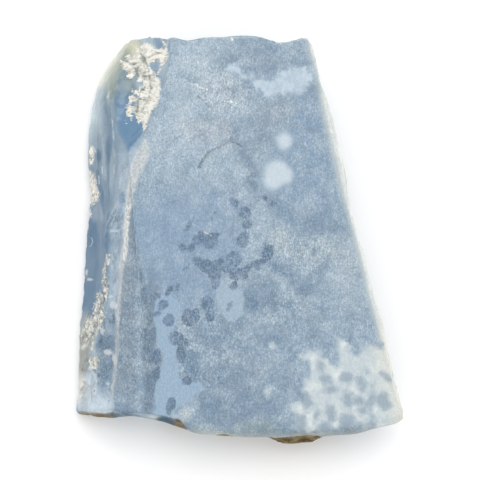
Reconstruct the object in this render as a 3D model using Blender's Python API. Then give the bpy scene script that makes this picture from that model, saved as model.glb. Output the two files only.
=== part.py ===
"""A palm-sized lump of rough blue opal, lying on its lower sawn face.

The upper and lower faces are saw cuts. The left side is a long glassy break that slopes outwards, with a
large chip at its back end. The other sides are steep breaks. Lengths are in millimetres unless a name says
otherwise, and MM turns them into metres. X runs across the stone, +Y to its narrow end, +Z up.
"""
import math

import bmesh
import bpy
from mathutils import Matrix, Vector, noise

MM = 0.001

# Driving dimensions
THICKNESS = 15.0
MIDDLE = (-0.58, 1.07)  # of the box round the finished stone, in these coordinates: it becomes the origin
COLUMN_SPACING = 1.45  # along the outline, between the corners of the side faces

# The widest outline of the stone seen from above, anticlockwise from the front left corner.
OUTLINE = [
    # front
    (-30.4, -30.5), (-29.5, -31.7), (-27.0, -32.2), (-22.5, -32.1), (-18.5, -32.5), (-15.5, -33.1),
    (-12.0, -34.0), (-9.5, -34.9), (-7.0, -35.1), (-2.0, -35.4), (2.5, -35.5), (9.0, -35.5),
    (16.5, -35.1), (20.0, -34.9), (24.5, -34.1), (27.5, -33.6),
    # right
    (29.3, -32.4), (28.3, -29.0), (27.2, -23.8), (25.4, -15.4), (23.8, -9.5), (22.6, -3.7), (21.1, 2.2),
    (19.7, 8.1), (18.5, 14.1), (17.1, 20.1), (15.8, 26.2), (14.9, 30.7), (14.1, 33.8),
    # back
    (13.3, 36.9), (12.6, 37.5), (11.0, 37.4), (9.8, 36.8), (6.6, 36.4), (5.0, 37.0), (2.9, 37.5),
    (-2.0, 37.4), (-8.0, 37.3), (-13.0, 36.9), (-17.8, 37.5), (-22.4, 39.3),
    # left
    (-23.3, 38.4), (-24.6, 36.3), (-26.1, 33.2), (-27.3, 30.0), (-28.2, 26.8), (-28.6, 22.9), (-28.5, 16.3),
    (-28.0, 11.7), (-28.4, 5.6), (-28.8, -0.5), (-29.2, -6.6), (-29.5, -14.1), (-29.5, -18.6),
    (-29.7, -24.5), (-30.1, -28.5),
]

# How far the stone is drawn in at these heights, at half its width and half its length from the middle.
HALF_WIDTH, HALF_LENGTH = 30.0, 37.0
HEIGHTS = [0.0, 0.7, 2.5, 5.0, 8.0, 10.5, 12.8, 14.3, THICKNESS]
INSET = {
    "left": [0.9, 0.3, 0.0, 1.1, 3.0, 4.7, 6.3, 7.4, 8.0],
    "right": [2.6, 2.2, 1.8, 1.2, 0.6, 0.2, 0.0, 0.2, 0.7],
    "front": [3.6, 3.2, 2.6, 1.7, 0.6, 0.0, 0.1, 0.5, 1.1],
    "back": [1.0, 0.6, 0.4, 0.3, 0.3, 0.2, 0.1, 0.0, 0.0],
}
# The front is less drawn in at its left end: the share there, and how far along X it grows to the whole.
FRONT_LEAST_SHARE, FRONT_FADE = 0.12, 18.0

# A lump of rind that stands out low on the front side.
RIND_LUMP_X, RIND_LUMP_WIDTH = 10.4, 9.6
RIND_LUMP_Z, RIND_LUMP_HEIGHT = 6.5, 7.0
RIND_LUMP_OUT = 1.6

# Unevenness of the broken sides: (size of the waves, how far they reach)
SIDE_WAVES = [(9.0, 0.55), (3.2, 0.22)]
WAVE_SEED = Vector((4.7, 1.3, 8.1))

# The narrow second saw cut left of the main face: two points of the fold and its fall to the left.
FOLD_BACK = (-19.4, 6.5)
FOLD_FRONT = (-15.8, -34.0)
FOLD_FALL_DEG = 13.0
FOLD_BLOCK_OVERRUN, FOLD_BLOCK_WIDTH, FOLD_BLOCK_HEIGHT = 1.5, 16.0, 6.0

# Conchoidal scars. Each is a shallow bowl: the middle of its mouth, the way it faces, the way its long side
# runs, its length and width across the mouth, and its depth.
SCARS = [
    # the large chip at the back of the left side
    ("chip", (-17.9, 29.2, 12.6), (-0.50, 0.08, 0.86), (0.37, 1.0, 0.0), 22.0, 9.2, 1.8),
    ("chip_corner", (-18.2, 36.6, 11.7), (-0.66, 0.26, 0.71), (-0.6, 0.2, -0.75), 14.0, 10.0, 0.9),
    # long flutes down the middle of the left side
    ("flute_low", (-27.6, 15.0, 5.0), (-0.90, 0.0, 0.43), (-0.03, 1.0, 0.05), 27.0, 4.6, 0.6),
    ("flute_middle", (-25.7, 13.0, 8.0), (-0.86, 0.0, 0.51), (-0.12, 1.0, -0.15), 25.0, 4.4, 0.65),
    ("flute_high", (-23.6, 9.0, 10.8), (-0.80, 0.0, 0.60), (-0.12, 1.0, -0.15), 21.0, 5.0, 0.8),
    # the smooth facet and the stepped break above it
    ("facet", (-26.9, -7.0, 6.2), (-0.88, 0.05, 0.47), (-0.05, 1.0, 0.0), 30.0, 10.0, 0.9),
    ("step_back", (-22.9, -1.0, 11.2), (-0.74, -0.15, 0.66), (-0.1, 1.0, 0.2), 12.0, 5.4, 0.7),
    ("step_middle", (-23.4, -9.5, 11.0), (-0.76, 0.12, 0.64), (0.1, 1.0, 0.1), 12.0, 5.6, 0.7),
    ("step_front", (-24.0, -18.0, 10.8), (-0.72, -0.12, 0.68), (-0.1, 1.0, 0.1), 13.0, 6.4, 0.9),
    ("step_low", (-27.4, -21.0, 7.2), (-0.86, -0.12, 0.50), (0.1, 1.0, 0.2), 13.0, 7.5, 0.7),
    ("corner", (-26.3, -27.2, 10.2), (-0.60, -0.26, 0.76), (-0.5, 1.0, 0.2), 12.0, 7.5, 0.9),
    # the front side
    ("notch", (-11.0, -34.2, 12.6), (0.12, -0.82, 0.56), (1.0, 0.1, 0.1), 4.4, 3.6, 1.1),
    ("front_left", (-21.0, -31.5, 5.0), (-0.06, -0.97, -0.22), (1.0, 0.0, 0.1), 17.0, 9.5, 1.0),
    ("front_middle", (-4.0, -33.3, 4.2), (-0.06, -0.94, -0.34), (1.0, 0.0, -0.1), 15.0, 9.0, 1.1),
    ("front_right", (20.0, -32.8, 4.4), (0.12, -0.94, -0.32), (1.0, 0.1, 0.1), 16.0, 9.0, 1.1),
    # the right side
    ("right_front", (25.8, -22.5, 5.4), (0.95, 0.16, -0.26), (-0.2, 1.0, 0.1), 22.0, 12.5, 1.5),
    ("right_middle", (21.8, -3.0, 6.2), (0.96, 0.22, -0.18), (-0.2, 1.0, 0.0), 23.0, 13.0, 1.4),
    ("right_back", (17.6, 15.0, 5.2), (0.94, 0.26, -0.24), (-0.2, 1.0, 0.1), 20.0, 12.5, 1.4),
    ("right_end", (14.4, 30.0, 6.6), (0.97, 0.16, -0.16), (-0.2, 1.0, -0.1), 15.0, 13.0, 1.2),
    # the back side
    ("back_left", (-10.5, 36.5, 5.6), (-0.05, 0.98, -0.20), (1.0, 0.0, 0.1), 14.0, 11.0, 1.1),
    ("back_middle", (-1.0, 36.6, 6.4), (0.05, 0.98, -0.14), (1.0, 0.0, -0.1), 17.0, 13.0, 1.2),
    ("back_right", (10.0, 35.8, 5.6), (0.14, 0.97, -0.18), (1.0, 0.0, 0.1), 12.0, 11.0, 1.1),
    # flakes off the lower edge
    ("flake_left", (-27.8, 6.0, 0.5), (-0.60, 0.05, -0.80), (0.0, 1.0, 0.0), 15.0, 5.0, 0.7),
    ("flake_right", (22.4, -14.0, 0.3), (0.55, 0.15, -0.82), (-0.2, 1.0, 0.0), 14.0, 6.0, 0.8),
    ("flake_back", (-6.0, 35.2, 0.3), (0.05, 0.55, -0.83), (1.0, 0.0, 0.0), 14.0, 6.0, 0.8),
]
BOWL_RADIUS_PER_DEPTH = 4.0  # the bowl is the end of an ellipsoid this many times as high as it is deep
SCAR_UNEVENNESS = 0.06  # of the ellipsoid's radius
SCAR_WAVE = 0.7  # the size of its waves, in radii
FINE_SCAR_LENGTH = 12.0  # scars from this length on have the finer mesh

# Colours, as linear RGB
OPAL_BLUE = (0.30, 0.41, 0.54)
OPAL_ROUGHNESS = 0.45


def clear_scene():
    """Removes the startup objects."""
    for obj in list(bpy.data.objects):
        bpy.data.objects.remove(obj)


def new_collection(name):
    """A collection linked to the scene."""
    collection = bpy.data.collections.new(name)
    bpy.context.scene.collection.children.link(collection)
    return collection


def new_object(name, mesh, collection):
    """An object that shows this mesh, in this collection."""
    obj = bpy.data.objects.new(name, mesh)
    collection.objects.link(obj)
    return obj


def even_points(points, spacing):
    """Points at even steps along a closed line through the given ones."""
    corners = [Vector(p) for p in points]
    closed = corners + corners[:1]
    lengths = [(b - a).length for a, b in zip(closed, closed[1:])]
    count = round(sum(lengths) / spacing)
    step = sum(lengths) / count
    placed, walked, leg = [], 0.0, 0
    for i in range(count):
        while walked + lengths[leg] < i * step:
            walked += lengths[leg]
            leg += 1
        placed.append(closed[leg].lerp(closed[leg + 1], (i * step - walked) / lengths[leg]))
    return placed


def outward(points, i, reach=3):
    """The direction out of the outline at point i, over a few neighbours on each side."""
    run = points[(i + reach) % len(points)] - points[i - reach]
    return Vector((run.y, -run.x)).normalized()


def drawn_in(place, level):
    """The outline's point moved inwards to where the stone is at one of the heights."""
    x, y = place
    left, right = max(0.0, -x / HALF_WIDTH), max(0.0, x / HALF_WIDTH)
    front, back = max(0.0, -y / HALF_LENGTH), max(0.0, y / HALF_LENGTH)
    front *= min(1.0, max(FRONT_LEAST_SHARE, (x + HALF_WIDTH) / FRONT_FADE))
    x += left * INSET["left"][level] - right * INSET["right"][level]
    y += front * INSET["front"][level] - back * INSET["back"][level]
    return Vector((x, y))


def rind_lump(x, z):
    """How far the lump of rind stands out at this place on the front side."""
    across = 1.0 - (2.0 * (x - RIND_LUMP_X) / RIND_LUMP_WIDTH) ** 2
    upward = 1.0 - (2.0 * (z - RIND_LUMP_Z) / RIND_LUMP_HEIGHT) ** 2
    return RIND_LUMP_OUT * math.sqrt(max(0.0, across) * max(0.0, upward))


def side_wave(place):
    """How far the unevenness moves a point of a side along its normal."""
    return sum(reach * noise.noise(place / size + WAVE_SEED) for size, reach in SIDE_WAVES)


def ring_of(points, level):
    """The stone's section at one of the heights."""
    height = HEIGHTS[level]
    ring = []
    for i, point in enumerate(points):
        normal = outward(points, i)
        place = drawn_in(point, level)
        lump = rind_lump(point.x, height) * max(0.0, -normal.y)
        place += normal * (side_wave(Vector((*place, height))) + lump)
        ring.append(Vector((*place, height)))
    return ring


def stone_block():
    """The stone before its scars: a loft through its sections, closed by the two saw cuts."""
    columns = even_points(OUTLINE, COLUMN_SPACING)
    shape = bmesh.new()
    rings = [
        [shape.verts.new(place * MM) for place in ring_of(columns, level)]
        for level in range(len(HEIGHTS))
    ]
    for low, high in zip(rings, rings[1:]):
        for i in range(len(columns)):
            shape.faces.new((low[i - 1], low[i], high[i], high[i - 1]))
    shape.faces.new(reversed(rings[0]))
    shape.faces.new(rings[-1])
    mesh = bpy.data.meshes.new("stone_block")
    shape.to_mesh(mesh)
    shape.free()
    return mesh


def turned(facing, along):
    """A rotation that takes +Z to facing and +X as near to along as it can."""
    z = Vector(facing).normalized()
    x = Vector(along)
    x = (x - x.dot(z) * z).normalized()
    return Matrix((x, z.cross(x), z)).transposed().to_4x4()


def cutter_object(name, shape, collection):
    """A hidden object with this shape, which is then freed."""
    mesh = bpy.data.meshes.new(name)
    shape.to_mesh(mesh)
    shape.free()
    cutter = new_object(name, mesh, collection)
    cutter.hide_render = True
    cutter.display_type = "WIRE"
    return cutter


def add_cut(stone, cutter):
    """Takes the cutter out of the stone. MANIFOLD, because EXACT loses the stone along this many cuts."""
    cut = stone.modifiers.new(cutter.name, "BOOLEAN")
    cut.operation = "DIFFERENCE"
    cut.solver = "MANIFOLD"
    cut.object = cutter


def scar_cutter(name, at, facing, along, length, width, depth, collection):
    """An ellipsoid whose lowest end is the bowl of a scar."""
    height = BOWL_RADIUS_PER_DEPTH * depth
    mouth = math.sqrt(1.0 - (1.0 - 1.0 / BOWL_RADIUS_PER_DEPTH) ** 2)
    radii = Vector((length / 2 / mouth, width / 2 / mouth, height)) * MM
    centre = Vector(at) + Vector(facing).normalized() * (height - depth)
    shape = bmesh.new()
    bmesh.ops.create_icosphere(shape, subdivisions=4 if length > FINE_SCAR_LENGTH else 3, radius=1.0)
    for vert in shape.verts:
        vert.co *= 1.0 + SCAR_UNEVENNESS * noise.noise(vert.co / SCAR_WAVE + Vector(at))
    place = Matrix.Translation(centre * MM) @ turned(facing, along) @ Matrix.Diagonal((*radii, 1.0))
    bmesh.ops.transform(shape, matrix=place, verts=shape.verts)
    return cutter_object(name, shape, collection)


def fold_cutter(collection):
    """A block over the second saw cut, with its lower right edge on the fold."""
    back, front = Vector((*FOLD_BACK, THICKNESS)), Vector((*FOLD_FRONT, THICKNESS))
    fall = math.radians(FOLD_FALL_DEG)
    turn = turned((-math.sin(fall), 0.0, math.cos(fall)), back - front)
    size = Vector((FOLD_BLOCK_OVERRUN * (back - front).length, FOLD_BLOCK_WIDTH, FOLD_BLOCK_HEIGHT))
    middle = (back + front) / 2 + turn @ Vector((0.0, size.y / 2, size.z / 2))
    shape = bmesh.new()
    bmesh.ops.create_cube(shape, size=1.0)
    place = Matrix.Translation(middle * MM) @ turn @ Matrix.Diagonal((*size * MM, 1.0))
    bmesh.ops.transform(shape, matrix=place, verts=shape.verts)
    return cutter_object("second_saw_cut", shape, collection)


def opal_material():
    """Milky blue opal."""
    material = bpy.data.materials.new("opal")
    material.use_nodes = True
    shader = material.node_tree.nodes["Principled BSDF"]
    shader.inputs["Base Color"].default_value = (*OPAL_BLUE, 1.0)
    shader.inputs["Roughness"].default_value = OPAL_ROUGHNESS
    return material


def main():
    clear_scene()
    parts = new_collection("rough_opal")
    cutters = new_collection("cutters")
    cutters.hide_render = True
    opal = new_object("opal", stone_block(), parts)
    opal.location = Vector((-MIDDLE[0], -MIDDLE[1], 0.0)) * MM
    opal.data.materials.append(opal_material())
    add_cut(opal, fold_cutter(cutters))
    for scar in SCARS:
        add_cut(opal, scar_cutter(*scar, cutters))
    for cutter in cutters.objects:
        cutter.location = opal.location


main()
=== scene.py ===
"""Looks of the rough opal: its broken and sawn surfaces, its mottled blue, the light and the camera.

Lengths are in millimetres unless a comment says otherwise, and MM turns them into metres. Marks that were
read off the photograph are in its pixels, 480 each way, with y downwards: pixels_of() says where a point of
the stone lands there. Ellipses are (x, y, half width, half height) and may end with a turn, clockwise in
degrees. Broad lines are (points, half width).
"""

import math

import bmesh
import bpy
import numpy as np
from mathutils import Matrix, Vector, noise
from mathutils.bvhtree import BVHTree
from mathutils.kdtree import KDTree


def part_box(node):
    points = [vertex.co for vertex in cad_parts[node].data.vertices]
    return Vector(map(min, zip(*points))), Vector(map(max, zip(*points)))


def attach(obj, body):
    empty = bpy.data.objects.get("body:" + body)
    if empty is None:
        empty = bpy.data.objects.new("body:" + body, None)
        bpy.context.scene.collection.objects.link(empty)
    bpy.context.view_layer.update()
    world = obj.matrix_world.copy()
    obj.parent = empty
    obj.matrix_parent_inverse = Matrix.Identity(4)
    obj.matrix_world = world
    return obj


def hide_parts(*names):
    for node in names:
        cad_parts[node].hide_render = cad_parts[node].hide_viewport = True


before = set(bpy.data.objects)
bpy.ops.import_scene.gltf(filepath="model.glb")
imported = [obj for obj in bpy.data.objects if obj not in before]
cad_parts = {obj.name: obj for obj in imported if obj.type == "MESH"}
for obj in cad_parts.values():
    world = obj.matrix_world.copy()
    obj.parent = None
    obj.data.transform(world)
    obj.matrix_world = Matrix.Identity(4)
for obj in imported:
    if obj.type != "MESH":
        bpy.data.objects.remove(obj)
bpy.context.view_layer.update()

MM = 0.001

# ---------------- camera

PHOTO_SIDE = 480
CAMERA_ELEVATION = math.radians(80)
CAMERA_DISTANCE = 320
CAMERA_TARGET = Vector((0.58, -1.07, 12))
LENS, SENSOR = 132.23, 36
FOCAL_PIXELS = LENS / SENSOR * PHOTO_SIDE
SIGHT = Vector((0, math.cos(CAMERA_ELEVATION), -math.sin(CAMERA_ELEVATION)))
SIGHT_UP = Vector((0, math.sin(CAMERA_ELEVATION), math.cos(CAMERA_ELEVATION)))
CAMERA_PLACE = CAMERA_TARGET - SIGHT * CAMERA_DISTANCE

# ---------------- floor and light

FLOOR_REACH = 3  # metres
FLOOR_WHITE = (0.9, 0.9, 0.9, 1)
DOME_LEVEL = 1.1
LAMP_PLACE = Vector((70, 140, 700))
LAMP_TARGET = Vector((0, 0, 8))
LAMP_SIZE = 320
LAMP_POWER = 1.2
LAMP_COLOUR = (1, 0.99, 0.97)

# ---------------- the stone's mesh

STONE_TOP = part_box("opal")[1].z / MM
VOXEL = 0.62
FINE_MARGIN = 4  # pixels round the finer areas
RIM_REACH = 2.2  # of finer mesh on each side of the sawn faces' edges
SHARP_EDGE = math.radians(32)
SNAP_REACH = 0.14  # to a sharp edge of the solid
UNDERSIDE_BORDER = 3
SMOOTH_UP_TO = math.radians(50)
SAWN_FALL = math.cos(math.radians(1.5))  # a face within this of a saw cut's plane is sawn
SECOND_CUT_FALL = math.radians(13)
SECOND_CUT_FACING = Vector((-math.sin(SECOND_CUT_FALL), 0, math.cos(SECOND_CUT_FALL)))
SLANT = np.array(((1.6, 0.9, 0), (-0.55, 0.95, 0), (0, 0, 1)))  # turns noise into slanted strands
LOW = 1.5  # what is lower than this has no marks of the left side
FRONT, WORN_FRONT = -20, -25  # nearer than these is the front side, and the part of it that is worn
LEFT_SIDE = 176  # pixels: the broken left side lies left of this
OUTSIDE, FIELD_REACH = -40, 9  # pixels: a field where its mark can't be, and how far fields are kept

# ---------------- marks, in pixels of the photograph

DARK_SPOTS = [
    (234, 202, 3.5, 5.5, -30), (189, 225, 3, 6.8, 35), (213, 216, 1.3, 5, 30), (201, 234, 3, 4.5, 30),
    (197, 240, 4.5, 5, 20), (191, 248, 3.8, 5.2, 20), (183, 247, 4.6, 4.4), (210, 241, 7.6, 8.2, 40),
    (217, 235, 3.5, 3, -30), (245, 213, 5.6, 6.4, 30), (247, 224, 5.2, 5), (243, 240, 5.8, 8.2, 20),
    (197, 261, 4.6, 4.8), (187, 267, 2, 4.8, 35), (207, 266, 8, 6.4, 10), (220, 265, 7, 6),
    (214, 273, 7, 6), (216, 282, 4.6, 7, 15), (234, 259, 8, 7.6, 20), (226, 267, 6, 5),
    (236, 274, 7.4, 6.4), (243, 274, 5, 6), (234, 286, 4.4, 4, -30), (256, 264, 6.4, 4.4, 40),
    (268, 252, 5.6, 8.6, 15), (262, 262, 6, 3.2, -30), (248, 268, 6, 3, -30), (169, 291, 2.7, 6.2, 20),
    (178, 288, 1.9, 7, 15), (163, 305, 6.6, 4.2, -30), (157, 314, 4.2, 2.4), (169, 320, 6, 6.4, 20),
    (188, 318, 6.2, 9), (195, 316, 5, 7, 10), (207, 303, 6.8, 7.4, -10), (210, 316, 4.6, 6, -10),
    (229, 307, 1.9, 6, 38), (176, 338, 7.6, 7), (184, 343, 5, 5), (157, 357, 5.6, 6.8),
    (156, 373, 3.9, 7.2, 10), (181, 354, 5, 8.4), (187, 381, 5.2, 4.4, -30), (171, 405, 5, 7.6, 20),
    (169.5, 410, 3, 4.6, 20), (273, 203, 3, 3.2), (265, 198, 2.6, 3), (157, 296, 4.4, 3),
]
# Pale bluish haze at the upper right
HAZES = [
    [(240, 76), (252, 71), (255, 77), (262, 80), (270, 80), (277, 76), (281, 71), (290, 68), (300, 67),
     (310, 69), (314, 74), (313, 82), (308, 86), (300, 92), (290, 95), (282, 92), (276, 96), (270, 98),
     (262, 92), (257, 88), (252, 80)],
    [(228, 68), (236, 64), (243, 67), (240, 74), (231, 73)],
]
BLOBS = [(284.5, 141, 9.5, 10.5), (277, 171, 14, 12), (273, 180, 11, 11.5), (283, 175, 12, 11)]
# The white cloud of the lower right corner, the small wisps round it and the bluer cells in it
CLOUD = [
    (336, 338), (345, 343), (352, 353), (357, 357), (361, 352), (366, 346), (378, 347), (387, 350),
    (390, 362), (393, 375), (396, 395), (399, 412), (397, 425), (390, 429), (374, 428), (352, 424),
    (330, 427), (308, 431), (301, 428), (298, 420), (295, 412), (292, 407), (300, 403), (305, 400),
    (306, 396), (304, 390), (303, 383), (309, 377), (311, 370), (310, 362), (303, 356), (308, 350),
    (318, 350), (323, 358), (330, 366), (337, 367), (340, 360), (339, 350),
]
WISPS = [(273, 345, 3.6, 4.2), (267, 392, 4.6, 5.6), (292, 390, 3.6, 4.6)]
CLOUD_CELLS = [
    (326, 380, 5.5, 4.5, 20), (331, 390, 5.5, 3.2, 10), (308, 402, 5, 9), (346, 378, 7, 6, 20),
    (361, 383, 6, 8, -20), (347, 399, 5.5, 8, -15), (358, 401, 10, 4.4, 15), (372, 398, 4, 13, 8),
    (371, 421, 4, 9), (362, 411, 5.6, 4.4), (384, 401, 7.5, 9, -10), (347, 420, 7.6, 9, -20),
    (331, 413, 6.4, 10, 10), (316, 416, 2.2, 7, 10), (368, 372, 3.2, 3.6), (324, 426, 9, 6),
    (388, 378, 7, 2.2, 35), (384, 345, 9, 2.4, 10), (340, 431, 5, 6, -20), (356, 428, 8, 5),
    (302, 424, 5, 7), (320, 367, 4, 5),
]
# Where the saw's grain is stronger, and where it is fainter
GRAINY_AREAS = [
    (225, 92, 34, 26), (300, 255, 44, 24), (205, 350, 40, 44), (216, 268, 30, 18), (135, 340, 18, 64),
    (285, 310, 30, 24),
]
CALM_AREA = (185, 242, 54, 62)
PALE_STRIP = [
    (156, 295), (155, 305), (153, 318), (156, 330), (156, 345), (163, 352), (163, 362), (160, 368),
    (160, 378), (156, 382), (154, 395), (156, 408), (152, 413), (166, 417), (174, 412), (182, 404),
    (194, 402), (192, 400), (194, 393), (206, 390), (201, 382), (188, 382), (179, 380), (179, 365),
    (175, 357), (178, 346), (172, 343), (170, 332), (178, 322), (180, 305), (172, 296),
]
PALE_PATCH = [
    (214, 275), (222, 281), (230, 288), (241, 290), (244, 300), (243, 315), (238, 318), (232, 322),
    (224, 318), (219, 306), (216, 296), (218, 286),
]
# Dark hairlines, pale ones, some of them painted glints, and painted glints: (x, y, radius)
CRACKS = [
    ([(199, 167), (203, 160), (207, 154), (209, 152)], 1.2),
    ([(208, 153), (212, 150), (219, 147), (226, 143), (230, 141), (238, 144), (243, 147)], 0.6),
    ([(229, 130), (231, 136), (230, 141)], 0.4), ([(198, 96), (203, 100)], 0.6),
    ([(205, 103), (210, 107)], 0.5), ([(120, 228), (111, 228), (107, 226)], 0.9),
]
PALE_SCRATCHES_AND_GLINTS = [
    ([(190, 84), (195, 85), (200, 87), (208, 90)], 0.9), ([(204, 232), (212, 236)], 0.7),
    ([(228, 101.5), (236, 103.5)], 1), ([(159, 124), (160, 134)], 0.7),
]
GLINTS = [
    (284, 128, 1.6), (297, 56, 1.2), (231, 102, 1.6), (232, 39, 1.8), (194, 40.5, 1.8), (275.5, 44, 2),
    (281, 43.5, 1.4), (191.5, 84, 1.2), (195.5, 84.8, 1.2),
]

# The fold between the two saw cuts, and the sparkling ridge at the second cut's left edge, with a painted
# highlight along its crest
FOLD = [
    (126, 190), (131, 205), (134.4, 237), (136.3, 252), (138.2, 266), (140.2, 277), (142.7, 286),
    (145.4, 310), (144, 332), (147.3, 357), (148, 390), (147, 419),
]
RIDGE = [
    (146, 134), (139, 150), (133, 166), (129, 190), (126, 212), (125, 230), (124, 248), (121, 262),
    (119, 280), (118, 310), (116, 345), (114, 375), (111, 398), (108, 410),
]
RIDGE_BAND = [
    (146, 135), (151, 150), (147, 163), (139, 178), (134.5, 195), (131.5, 210), (129, 230), (128.5, 248),
    (125, 264), (122.5, 280), (120.5, 310), (118.5, 345), (117, 375), (113, 398), (110, 398), (113, 375),
    (115, 345), (116.5, 310), (118, 280), (119.5, 262), (122, 245), (122, 230), (124, 212), (126, 190),
    (130, 166), (137, 150),
]
RIDGE_GLINT_LINE = [(129, 205), (127, 220), (126, 238), (125.5, 250), (124, 260)]

# The cream crust of the broken left side: its two main areas and its loose strands
CRUST = [
    (137, 48), (143, 44), (150, 44), (157, 47), (163, 49), (168, 52), (167, 60), (162, 66), (159, 61),
    (150, 62), (149, 67), (156, 74), (160, 80), (161, 90), (160, 98), (158, 104), (152, 111), (149, 118),
    (146, 125), (149, 134), (148, 137), (144, 134), (142, 124), (138, 122), (134, 119), (129, 121),
    (124, 122), (126, 114), (125, 108), (128, 102), (129, 96), (131, 91), (137, 90), (138, 83), (135, 77),
    (131, 80), (126, 75), (122, 67), (120, 62), (126, 57), (128, 54), (133, 56), (136, 52),
]
CRUST_BAND = [
    (109, 256), (111, 262), (110, 275), (108, 288), (108, 298), (106, 308), (104, 320), (99, 332),
    (95, 340), (90, 346), (84, 350), (80, 345), (81, 330), (84, 318), (92, 308), (96, 296), (102, 290),
    (103, 278), (103, 268), (106, 262),
]
CRUST_STRANDS = [
    ([(108.5, 256), (107, 264), (104, 272), (104.5, 282), (105.5, 292), (105, 296)], 1.8),
    ([(104, 272), (107, 280), (108, 288)], 1),
    ([(98, 292), (99, 300), (102, 308), (103, 318), (99, 326), (94, 336), (88, 343), (83, 348.5)], 1.5),
    ([(101, 296), (97, 304), (95, 312)], 1.4), ([(95, 318), (90, 326), (86, 334)], 0.5),
    ([(88, 320), (85, 328), (82, 336)], 0.3), ([(93, 343), (91.5, 350)], 1.3),
    ([(106, 300), (103, 312)], 0.6), ([(163, 41), (166, 46), (166, 52)], 1.2),
    ([(160, 70), (158, 75)], 0.8),
]
# The crust's whitest parts, its dark seams, the pale edges of its lobes, its hollows and its openings. The
# whitest parts and the pale edges are painted highlight, the seams and hollows painted shade; all but the
# openings also rise or sink in the relief.
CRUST_HIGHLIT = [
    [(155, 73), (160, 80), (161, 92), (158, 103), (151, 111), (148, 118), (148, 134), (144, 134),
     (143, 120), (147, 108), (152, 98), (153, 86)],
    [(144, 43), (152, 43), (160, 50), (167, 51), (168, 58), (163, 67), (160, 60), (157, 56), (150, 50),
     (142, 48)],
]
CRUST_SHADED_SEAMS = [
    ([(123, 59), (127, 61.5), (131, 63.5), (136, 63)], 0.9),
    ([(140, 53), (144, 57), (146, 62), (149, 69), (149, 79)], 0.8),
    ([(134, 68), (137, 74), (139, 80)], 0.8),
    ([(150, 81), (150.5, 88), (149, 96), (145, 103), (141, 112)], 0.6),
    ([(131, 99), (137, 98.7), (147, 99)], 0.7), ([(138, 90), (139, 96), (137, 104), (136.5, 113)], 0.7),
    ([(141, 92), (144, 89), (146, 87)], 0.7), ([(137, 113), (142, 117)], 0.5),
    ([(152, 50), (158, 53), (163, 54)], 0.5),
]
CRUST_LIT_RIMS = [
    ([(129, 97), (128, 93), (131, 90.5), (135, 91), (137, 94)], 0.9),
    ([(127, 103), (128, 100.5), (136, 100.5)], 0.9), ([(125, 113), (128, 110), (133, 108)], 0.9),
    ([(124.5, 121), (127, 117.5), (128, 115)], 0.8),
    ([(150.5, 74), (149.5, 61), (152, 57.5), (158, 56.5), (164, 57)], 1), ([(139, 79), (139.5, 90)], 0.9),
    ([(130, 79), (132, 76)], 1.6), ([(121, 61), (125, 65), (131, 67)], 0.8),
]
CRUST_SHADED_HOLLOWS = [
    (135, 108, 4, 8), (138, 71, 3.5, 5, 20), (144.5, 76, 2.4, 5), (143.5, 88.5, 2.6, 1.4, -20),
    (144, 60, 3, 4),
]
CRUST_OPENINGS = [
    (158, 46, 7, 2.6, 10), (132.5, 104, 3.6, 2.2), (136.5, 96, 2.4, 1.6), (133, 114, 1.6, 2.2),
    (140.5, 124.5, 1.6, 3), (141, 84, 1.6, 3, 10),
]
# The line that its fibres fan out from
CRUST_SPINE = [(143, 55), (147, 66), (149, 78), (148, 92), (146, 104), (145, 116)]
# Small breaks filled with cream
CREAM_CHIPS = [
    [(90, 145), (94, 147), (94.5, 155), (93, 164), (91, 166), (89, 156)],
    [(88, 169), (93, 173), (96, 179), (97, 187), (99.5, 193), (98.5, 200), (95, 203), (91, 206),
     (88, 198), (88, 184)],
    [(88, 207), (90.5, 210), (91, 217), (88, 219)],
    [(90, 357), (98, 356), (99, 362), (97, 369), (91, 370), (88, 364)],
]

# The other parts of the left side: SMALL_FACES each tilt their own way
DEEP_CHIP = [
    (139, 82), (146, 110), (146, 126), (142, 134), (137, 142), (131, 151), (127.5, 153), (122.5, 141),
    (118, 133), (115.5, 120), (114.5, 106), (113.5, 94), (116, 80), (126, 76),
]
ROUGH_ZONE = [
    (128, 153), (142, 146), (134, 170), (129, 200), (126, 232), (122, 262), (119, 290), (117, 330),
    (107, 330), (112, 290), (110, 262), (110, 235), (109, 222), (114, 205), (117, 190), (121, 168),
]
SMOOTH_FACET = [
    (90, 205), (100, 195), (104, 215), (107, 228), (109, 240), (108, 258), (103, 268), (101, 280),
    (98, 293), (93, 300), (88, 312), (83, 322), (79, 300), (80, 280), (84, 255), (86, 230),
]
SMALL_FACES = [
    (109, 288), (117, 300), (116, 345), (114, 385), (108, 408), (80, 410), (78, 380), (82, 350), (97, 345),
    (103, 325), (108, 305),
]
# Crests and grooves of the flutes: (points, half width, height in millimetres)
FLUTES = [
    ([(110, 84), (112, 110), (113, 128), (114, 142)], 1.8, 0.14),
    ([(105, 100), (107.5, 118), (109.5, 135), (109.5, 150), (107.5, 185), (107.5, 205)], 2, -0.2),
    ([(99, 90), (103, 120), (105, 150), (104.5, 180)], 2, 0.12),
    ([(95, 115), (98, 140), (99.5, 156), (97.5, 166), (100, 178), (104, 200)], 1.6, -0.16),
    ([(117, 120), (119, 150), (116, 185)], 1.8, -0.08), ([(108, 228), (120, 229)], 1.2, -0.2),
    ([(108, 232), (120, 232)], 1.4, 0.16), ([(100, 205), (104, 225), (106, 245)], 2.5, 0.1),
    ([(96, 215), (98, 250), (95, 290)], 3, -0.1), ([(93, 378), (100, 384), (108, 384)], 2, -0.16),
    ([(98, 340), (106, 336), (113, 341)], 1.8, 0.18), ([(98, 347), (106, 345), (113, 350)], 1.8, -0.16),
    ([(100, 362), (108, 366), (114, 376)], 2.2, 0.14), ([(84, 398), (92, 391), (102, 390)], 2.4, 0.12),
]
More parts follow.
